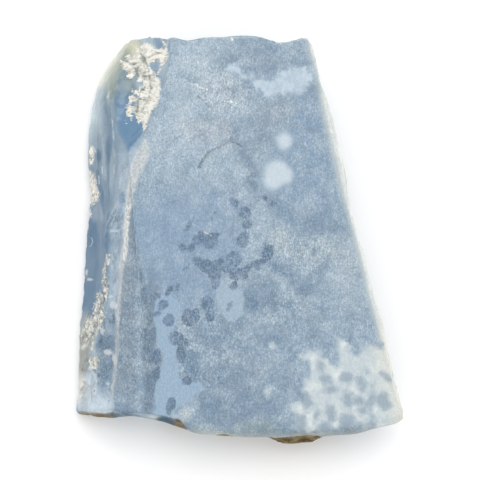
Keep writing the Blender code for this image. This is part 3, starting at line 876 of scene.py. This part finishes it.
def painted(corners, spots, sawn):
    """The broad colour of each corner."""
    x, y = spots.T
    height = corners[:, 2]
    wander = two_waves(corners, 3, 7, 14)
    ragged = two_waves(corners, 1.6, 21, 28, 4)
    on_top = smooth(sawn, -0.1, 0.1)
    broken = 1 - on_top
    paint = np.tile(base_of(MAIN), (len(corners), 1))
    paint = strokes_over(paint, spots + 6 * wander + 3 * ragged, SAWN_STROKES, on_top)
    second_cut = on_top * fall(height, STONE_TOP - 0.4, STONE_TOP - 0.02) * fall(x, *SECOND_CUT_END)
    paint = layers_over(paint, [
        (CUT_GREY, second_cut),
        (BLUE, second_cut * smooth(y, *BLUER_CUT) * 0.6),
        (CUT_DARK, ridge_along(spots, FOLD, 3) * smooth(y, *DARK_FOLD) * on_top),
        *rim_layers(spots, on_top),
        (BREAK, broken),
        (BREAK_PALE, broken * smooth(wander[:, 0], -0.1, 0.5)),
        (DEEP, broken * smooth(wander[:, 1], 0, 0.6) * 0.6),
        (FROST, broken * smooth(ragged[:, 0], 0.1, 0.8) * 0.6),
    ])
    pushed = spots + np.array((4, 0.5)) * ragged + 2 * np.array((2, 0.3)) * wander
    paint = walls_over(paint, pushed, corners, broken)
    left = broken * fall(x, LEFT_SIDE - 8, LEFT_SIDE) * (height > 1) * (y < LEFT_END)
    paint = strokes_over(paint, spots + 1.2 * wander + 0.8 * ragged, LEFT_STROKES, left, LEFT_GLOSS)
    chip = smooth(into_area(spots, DEEP_CHIP), -2, 4) * left
    # Along the upper left rim, the yellow is painted glow of light through the thin edge
    edge = ridge_along(spots, LEFT_RIM, 8) * left
    paint = layers_over(paint, [
        (CHIP_BLUE, chip * smooth(y, *CHIP_SHADE)),
        (EDGE_GLOW_YELLOW, edge * fall(y, *YELLOW_END)),
        (CYAN, edge * smooth(y, *CYAN_START) * 0.9),
    ])
    front = smooth(y, FRONT_START, FRONT_START + 5) * (corners[:, 1] < FRONT) * smooth(height, 0, 2.5)
    return strokes_over(paint, spots + np.array((2.5, 0.5)) * ragged, EDGE_STROKES, front)


def rim_layers(spots, on_top):
    """The pale and greenish bands along the edges of the main sawn face: colours and their weights. The pale
    and cream bands along the right rim and the top edge are painted glow of light through the thin edges.
    """
    x, y = spots.T
    from_right = np.interp(y, *RIGHT_EDGE) - x
    from_bottom = np.interp(x, *BOTTOM_EDGE) - y
    rim = smooth(2.8 - from_right, -2, 2) * on_top
    low = on_top * smooth(x, *LOW_RIM_START)
    return [
        (PALE_EDGE_GLOW, smooth(np.interp(y, *RIM_WIDTH) - from_right, -4, 7) * on_top * 0.8),
        (PAINTED_LIGHT_CREAM, rim * 0.95),
        (CORNER_CREAM, rim * smooth(y, *CREAM_CORNER) * 0.7),
        (GREEN_GREY, smooth(6 - from_bottom, -3, 5) * low * 0.7),
        (RIM_GREEN, smooth(2.6 - from_bottom, -1.8, 1.8) * low * 0.3),
        (PALE_EDGE_GLOW, smooth(1.8 - to_line(spots, TOP_EDGE), -1.2, 1.2) * on_top * 0.6),
        (CORNER_CREAM, smooth(into_ellipse(spots, *CORNER), -3, 4) * on_top * 0.8),
    ]


def walls_over(paint, spots, corners, broken):
    """The broken walls that show past the top's right and front edges, with painted glow on the right wall.
    """
    x, y = spots.T
    height = corners[:, 2] + 3 * waves(corners, 2.2, 17, 3)
    right = smooth(x - np.interp(y, *RIGHT_EDGE), -18, -5) * (y < RIGHT_END)
    # The right wall's pale cream, paler towards the top, is painted glow of light through its thin edge
    worn = right * broken * smooth(height, -3, 13.5)
    front = broken * smooth(y, FRONT_START, FRONT_START + 6) * (corners[:, 1] < FRONT)
    clouded = smooth(x, *CLOUDED_FRONT) * smooth(height, 0, 9)
    warm = worn * smooth(y, *CREAM_CORNER) * 0.7
    paint = layers_over(paint, [(PAINTED_LIGHT_CREAM, worn), (CORNER_CREAM, warm), (FROST, front * clouded * 0.9)])
    return strokes_over(paint, spots, FRONT_STROKES, front)


def tan_of(corners, spots, sawn):
    """How much tan rind covers each corner."""
    push = np.array((3, 0.7)) * two_waves(corners, 1.6, 41, 43, 4)
    push += np.array((5, 1.2)) * two_waves(corners, 4, 42, 44)
    rind = smooth(into_area(spots + push, RIND), -0.6, 1.2)
    streaks = 0.62 * smooth(deepest(spots + 0.4 * push, lines=RIND_STREAKS), -1.2, 1.2)
    climb = np.interp(spots[:, 0], *SKIN_HEIGHT) - corners[:, 2] + 2.2 * waves(corners, 2.6, 45, 4)
    covered = np.maximum.reduce([rind, streaks, smooth(climb, -0.9, 1.5)])
    return covered * (sawn < 0.05) * (corners[:, 1] < WORN_FRONT)


def mark_fields(corners, spots, sawn):
    """The fields that the material reads, by name: mostly distances into marks, in pixels."""
    x, y = spots.T
    top = np.where((sawn > -0.3) & (corners[:, 2] > STONE_TOP - 6), 0, OUTSIDE)
    left = np.where((sawn < 0.4) & (x < LEFT_SIDE) & (corners[:, 2] > LOW), 0, OUTSIDE)
    either = np.maximum(top, left)
    glints = np.maximum.reduce([radius - np.hypot(x - at_x, y - at_y) for at_x, at_y, radius in GLINTS])
    haze = deepest(spots, HAZES)
    blob = deepest(spots, ellipses=BLOBS)
    cloud = np.maximum(into_area(spots, CLOUD), deepest(spots, ellipses=WISPS) - 2.5)
    strip, patch = into_area(spots, PALE_STRIP), into_area(spots, PALE_PATCH)
    past_right = x - np.interp(y, *RIGHT_EDGE)
    calm = np.maximum.reduce([
        smooth(np.maximum.reduce([haze, blob, cloud]), -5, 2),
        0.75 * smooth(np.maximum(strip, patch), -3, 2),
        0.4 * smooth(into_ellipse(spots, *CALM_AREA), -6, 12),
        0.85 * smooth(past_right, -11, -4),
    ])
    grainy = smooth(deepest(spots, ellipses=GRAINY_AREAS), -6, 12)
    tan = tan_of(corners, spots, sawn)
    wall = smooth(-sawn, -0.1, 0.1) * smooth(y, FRONT_START, FRONT_START + 8) * (corners[:, 1] < FRONT)
    marks = [
        ("spot", deepest(spots, ellipses=DARK_SPOTS), top), ("haze", haze, top), ("blob", blob, top),
        ("cloud", cloud, top), ("cell", deepest(spots, ellipses=CLOUD_CELLS), top), ("strip", strip, top),
        ("patch", patch, top), ("crack", deepest(spots, lines=CRACKS), top),
        # Pale scratches together with painted glints
        ("scratch_and_glint", np.maximum(deepest(spots, lines=PALE_SCRATCHES_AND_GLINTS), glints), top),
        ("ridge", into_area(spots, RIDGE_BAND), either),
        # A painted highlight along the ridge's crest
        ("ridge_glint", 2.2 - to_line(spots, RIDGE_GLINT_LINE), either),
        # Some chip rims and pale faces are painted glints
        ("crust", crust_share(corners, spots), left), ("chip", deepest(spots, lines=CHIP_RIMS_AND_GLINTS), left),
        ("pale", deepest(spots, ellipses=PALE_FACES_AND_GLINTS), left),
        ("rough", np.maximum(into_area(spots, ROUGH_ZONE), into_area(spots, SMALL_FACES) - 3), left),
        ("smooth", deepest(spots, [DEEP_CHIP, SMOOTH_FACET]), left),
    ]
    return {
        "sawn": sawn,
        "warm": smooth(past_right, -24, -4),
        "grain": 0.95 - 0.7 * calm + 0.32 * grainy * (1 - calm),
        "tan": tan,
        "dull": np.maximum(tan, wall),
        **{name: np.clip(depth + where, -FIELD_REACH, FIELD_REACH) for name, depth, where in marks},
    }


# ---------------- materials

MIX_FIRST, MIX_SECOND, MIX_RESULT = 6, 7, 2  # where a mix node has its colours


class Output:
    """An output of a node. What is done to it adds nodes and gives their output."""

    def __init__(self, nodes, socket):
        self.nodes = nodes
        self.socket = socket

    def combined(self, operation, other):
        return self.nodes.add("ShaderNodeMath", {0: self, 1: other}, operation=operation)

    def __add__(self, other):
        return self.combined("ADD", other)

    def __mul__(self, other):
        return self.combined("MULTIPLY", other)

    def at_least(self, other):
        return self.combined("MAXIMUM", other)

    def about(self, strength, middle=0.5):
        """A value made even round 0, times a strength."""
        return self.combined("SUBTRACT", middle) * strength

    def rise(self, low, high):
        """0 up to low and 1 from high on, with a smooth rise between them."""
        ends = {"Value": self, "From Min": low, "From Max": high}
        return self.nodes.add("ShaderNodeMapRange", ends, interpolation_type="SMOOTHSTEP")

    def span(self, low, high, to_low, to_high):
        """A straight line from (low, to_low) to (high, to_high), clamped."""
        ends = {"Value": self, "From Min": low, "From Max": high, "To Min": to_low, "To Max": to_high}
        return self.nodes.add("ShaderNodeMapRange", ends)

    def scaled(self, scale, turn=(0, 0, 0)):
        """A place with its axes scaled and turned."""
        return self.nodes.add("ShaderNodeMapping", {"Vector": self, "Rotation": turn, "Scale": scale})

    def noise(self, size, detail=2, roughness=0.5, distortion=0):
        """Noise from 0 to 1 at a place, with features of this size."""
        return self.nodes.add("ShaderNodeTexNoise", {
            "Vector": self, "Scale": 1 / size, "Detail": detail, "Roughness": roughness,
            "Distortion": distortion,
        })

    def under(self, colour, share):
        """A colour with another one laid over it by a share."""
        return self.nodes.blend(share, self, colour)

    def times(self, factor):
        """A colour multiplied by a factor."""
        return self.nodes.add("ShaderNodeVectorMath", {0: self, "Scale": factor}, operation="SCALE")


class Nodes:
    """The nodes of one material, with the place on the stone in millimetres."""

    def __init__(self, name):
        self.material = bpy.data.materials.new(name)
        self.material.use_nodes = True
        self.tree = self.material.node_tree
        self.inputs = self.tree.nodes["Principled BSDF"].inputs
        self.place = self.add("ShaderNodeTexCoord", {}, "Object").scaled((1 / MM,) * 3)

    def put(self, socket, value):
        """Links a socket to an output, or sets its value."""
        if isinstance(value, Output):
            self.tree.links.new(value.socket, socket)
        else:
            socket.default_value = (*value, 1) if isinstance(value, np.ndarray) else value

    def add(self, kind, inputs, output=0, **settings):
        """Adds a node with its settings and some of its inputs, and gives one of its outputs."""
        made = self.tree.nodes.new(kind)
        for name, value in settings.items():
            setattr(made, name, value)
        for name, value in inputs.items():
            self.put(made.inputs[name], value)
        return Output(self, made.outputs[output])

    def blend(self, share, first, second):
        """Two colours mixed by a share: each one an output, a colour as seen or a base colour."""
        first, second = (base_of(one) if isinstance(one, tuple) else one for one in (first, second))
        inputs = {0: share, MIX_FIRST: first, MIX_SECOND: second}
        return self.add("ShaderNodeMix", inputs, MIX_RESULT, data_type="RGBA")

    def field(self, name, output="Fac"):
        """A field of the mesh."""
        return self.add("ShaderNodeAttribute", {}, output, attribute_name=name)

    def mark(self, name, size, wander, low, high):
        """A mark's share, from its distance field, with an uneven edge."""
        return (self.field(name) + self.place.noise(size, 3).about(wander)).rise(low, high)


def sawn_grain(place):
    """The bright flecks and dark pores of a sawn face, about 0 on average."""
    flecks = None
    for turn in (0.35, 1.3, 2.2):
        streak = place.scaled((1, 0.36, 1), (0, 0, turn)).noise(0.24, 1).rise(0.56, 0.74)
        flecks = streak if flecks is None else flecks.at_least(streak)
    return place.noise(0.34, 3, 0.7).about(1.3) + flecks.about(0.3, 0.3)


def mottled(place, colour, strength):
    """A colour with blurred darker blue and frosty patches, a few millimetres across and less."""
    for size, dark, pale in ((3.6, 0.4, 0.4), (1.3, 0.3, 0.26)):
        patches = place.noise(size, 4, 0.6, 0.4)
        colour = colour.under(DEEP, patches.rise(0.52, 0.3) * (strength * dark))
        colour = colour.under(FROST, patches.rise(0.48, 0.72) * (strength * pale))
    return colour


def sawn_colour(nodes, grain):
    """The mottled blue of the sawn faces."""
    place = nodes.place
    level = nodes.field("grain")
    uneven = place.noise(1.1, 4, 0.6).span(0.36, 0.6, 0.62, 1)
    white = nodes.blend(place.noise(2.4).rise(0.46, 0.66), CLOUD_WHITE, CLOUD_BRIGHT)
    white = white.under(CLOUD_WARM, nodes.field("warm") * 0.7)
    cloud = nodes.mark("cloud", 1.7, 20, -5, 5) * uneven.span(0.62, 1, 0.8, 1)
    spot = nodes.mark("spot", 0.7, 4.6, -0.8, 0.8)
    crack = nodes.mark("crack", 0.6, 3.2, -1.1, 1)
    # Pale scratches with painted glints, and below them sparse painted glints as the face's sparkle
    scratch_and_glint = nodes.mark("scratch_and_glint", 0.3, 1.6, -0.5, 0.6) * place.noise(0.4).rise(0.4, 0.62)
    sparkle = place.noise(0.3, 1).rise(0.7, 0.78) * level
    colour = mottled(place, nodes.field("paint", "Color"), level)
    colour = colour.under(STRIP_BLUE, nodes.mark("strip", 1, 3, -0.8, 1) * 0.92)
    colour = colour.under(PATCH_BLUE, nodes.mark("patch", 1.4, 6, -1.5, 1.5) * 0.75)
    colour = colour.under(HAZE_BLUE, nodes.mark("haze", 1.1, 15, -3.6, 3.6) * uneven)
    colour = colour.under(BLOB_WHITE, nodes.mark("blob", 1.2, 3, -2, 6) * 0.96)
    colour = colour.under(white, cloud)
    colour = colour.under(CLOUD_CELL, nodes.mark("cell", 1.2, 14, -3.4, 3.6) * 0.8)
    colour = colour.under(SPOT_SLATE, spot * place.noise(1.4).span(0.3, 0.7, 0.45, 0.95))
    colour = colour.times(crack.span(0, 1, 1, 0.6))
    colour = colour.under(CREAM, scratch_and_glint * 0.7)
    colour = colour.under(PAINTED_LIGHT_CREAM, sparkle * 0.5)
    return colour.times(grain * (level + spot * 0.5) + 0.97)


def crust_over(nodes, colour):
    """The crumbly cream crust, whitish crushed opal with painted light: painted highlight, nearly white and
    warm in places, on its heights, grey-green painted shade in its seams and hollows, fibrous at its edges.
    """
    fibres = nodes.field("strands", "Color").noise(0.4, 3, 0.6)
    grit = nodes.place.noise(0.3, 3, 0.65)
    height = fibres.about(1.6) + grit.about(1.1) + nodes.field("lumps")
    cream = nodes.blend(nodes.place.noise(1.5).rise(0.52, 0.64), CREAM, CRUST_WARM_HIGHLIGHT)
    crumb = nodes.blend(height.rise(-0.35, 0.36), CRUST_SHADE, CRUST_MID).under(cream, height.rise(0.28, 0.9))
    edge = fibres.about(7) + grit.about(4) + nodes.field("crust")
    return colour.under(crumb, edge.rise(-0.9, 0.9))


def broken_colour(nodes):
    """The glassy breaks, their crumbly cream crust, chipped rims and rind."""
    place = nodes.place
    dull = nodes.field("smooth").rise(2, -3)
    cloudy = place.scaled((1, 0.4, 0.8)).noise(1.6, 4, 0.6).about(0.5)
    fine = place.noise(0.36, 4, 0.7).about(0.55)
    colour = nodes.field("paint", "Color").times(cloudy * dull + 1)
    colour = colour.times(fine * dull + 1 + nodes.field("tone"))
    rough = nodes.field("rough").rise(-1.5, 2)
    # Frosty flecks on the rough zone, partly painted glints as its sparkle
    flecks = place.scaled((1, 0.5, 0.8)).noise(0.26, 3, 0.65).rise(0.5, 0.68)
    colour = mottled(place, colour, rough * 0.9).under(FROST, rough * flecks * 0.6)
    colour = crust_over(nodes, colour)
    # Chip rims and pale faces, partly painted glints
    pale = nodes.mark("chip", 0.5, 1.4, -0.7, 0.6).at_least(nodes.mark("pale", 0.5, 3, -0.9, 1.1))
    colour = colour.under(PALE_FACE_AND_GLINT, pale * 0.75)
    skin = place.noise(1.6, 3, 0.55)
    dark, mid, light = (base_of(tan, RIND_GLOSS) for tan in (RIND_DARK, RIND_TAN, RIND_PALE))
    rind = nodes.blend(skin.rise(0.3, 0.56), dark, mid).under(light, skin.rise(0.52, 0.74))
    return colour.under(rind, nodes.field("tan"))


def ridge_over(nodes, colour):
    """The sparkling cream ridge between the second cut and the broken side, with a painted highlight along
    its crest.
    """
    flecked = nodes.place.scaled((1, 0.5, 1)).noise(0.26, 3, 0.7).rise(0.36, 0.64)
    wide = nodes.mark("ridge", 0.8, 4, -1.2, 2.4) * flecked.span(0, 1, 0.2, 0.75)
    bright = nodes.mark("ridge_glint", 0.7, 2.6, -0.8, 1.4) * flecked.span(0, 1, 0.1, 0.6)
    return colour.under(RIDGE_CREAM, wide).under(CREAM, bright)


def opal_material():
    """Milky opal: frosted where it is sawn, glassy where it is broken."""
    nodes = Nodes("opal")
    inputs = nodes.inputs
    grain = sawn_grain(nodes.place)
    sawn = nodes.field("sawn").rise(-0.12, 0.12)
    colour = ridge_over(nodes, nodes.blend(sawn, broken_colour(nodes), sawn_colour(nodes, grain)))
    nodes.put(inputs["Base Color"], colour)
    glassy = nodes.field("smooth").rise(-2, 2).span(0, 1, 0.36, 0.2)
    crumbly = nodes.field("crust").rise(-1, 1) * 0.6
    matt = (sawn * 0.62).at_least(nodes.field("dull") * 0.95)
    nodes.put(inputs["Roughness"], glassy.at_least(crumbly).at_least(matt))
    inputs["IOR"].default_value = 1.45
    inputs["Subsurface Weight"].default_value = 0.25
    inputs["Subsurface Radius"].default_value = (0.7, 0.85, 1)
    inputs["Subsurface Scale"].default_value = 0.5 * MM
    height = grain * sawn + nodes.place.noise(0.5, 3, 0.6) * 0.35
    bump = {"Height": height, "Strength": 0.35, "Distance": 0.12 * MM}
    nodes.put(inputs["Normal"], nodes.add("ShaderNodeBump", bump))
    return nodes.material


# ---------------- the stone


def write_fields(mesh, paint, strands, fields):
    """Stores the colour, the strands and the fields on the mesh's corners."""
    opaque = np.ones((len(paint), 1))
    layers = [
        ("strands", "FLOAT_VECTOR", "vector", strands),
        ("paint", "FLOAT_COLOR", "color", np.hstack((paint, opaque))),
        *((name, "FLOAT", "value", values) for name, values in fields.items()),
    ]
    for name, kind, key, values in layers:
        layer = mesh.attributes.new(name, kind, "POINT")
        layer.data.foreach_set(key, np.asarray(values, np.float32).ravel())


def build_stone(node):
    """The dressed stone, in place of the CAD solid."""
    shape, sawn = stone_shape(node)
    corners = places(shape)
    spots = pixels_of(corners)
    sawn = worn_front(corners, spots, past_ridge(spots, sawn))
    strands = strands_of(corners, spots)
    relief, lumps, tone = relief_of(corners, spots, sawn, strands)
    shape_relief(shape, relief)
    mesh = bpy.data.meshes.new("rough_opal")
    bmesh.ops.scale(shape, vec=(MM,) * 3, verts=shape.verts)
    shape.to_mesh(mesh)
    shape.free()
    fields = mark_fields(corners, spots, sawn) | {"lumps": lumps, "tone": tone}
    write_fields(mesh, painted(corners, spots, sawn), strands, fields)
    mesh.shade_smooth()
    mesh.set_sharp_from_angle(angle=SMOOTH_UP_TO)
    mesh.materials.append(opal_material())
    stone = added("rough_opal", mesh)
    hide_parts("opal")
    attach(stone, "root")


# ---------------- floor, light and camera


def build_floor():
    """A plain white floor."""
    mesh = bpy.data.meshes.new("floor")
    shape = bmesh.new()
    bmesh.ops.create_grid(shape, x_segments=1, y_segments=1, size=FLOOR_REACH)
    shape.to_mesh(mesh)
    shape.free()
    material = bpy.data.materials.new("floor")
    material.use_nodes = True
    inputs = material.node_tree.nodes["Principled BSDF"].inputs
    inputs["Base Color"].default_value = FLOOR_WHITE
    inputs["Roughness"].default_value = 1
    inputs["Specular IOR Level"].default_value = 0
    mesh.materials.append(material)
    floor = added("floor", mesh)


def build_light():
    """A white dome and a soft lamp high up, a little to the back right."""
    world = bpy.data.worlds.new("studio")
    world.use_nodes = True
    background = world.node_tree.nodes["Background"]
    background.inputs["Color"].default_value = (1, 1, 1, 1)
    background.inputs["Strength"].default_value = DOME_LEVEL
    light = bpy.data.lights.new("main_lamp", "AREA")
    light.size = LAMP_SIZE * MM
    light.energy = LAMP_POWER
    light.color = LAMP_COLOUR
    lamp = added("main_lamp", light)
    lamp.location = LAMP_PLACE * MM
    lamp.rotation_euler = (LAMP_TARGET * MM - lamp.location).to_track_quat("-Z", "Y").to_euler()
    bpy.context.scene.world = world
    bpy.context.scene.view_settings.view_transform = "Standard"


def build_camera():
    """The photograph's point of view."""
    data = bpy.data.cameras.new("camera")
    data.lens, data.sensor_width = LENS, SENSOR
    data.clip_start = 0.01
    camera = added("camera", data)
    camera.location = CAMERA_PLACE * MM
    camera.rotation_euler = (math.pi / 2 - CAMERA_ELEVATION, 0, 0)
    bpy.context.scene.camera = camera


build_camera()
build_light()
build_floor()
build_stone(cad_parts["opal"])
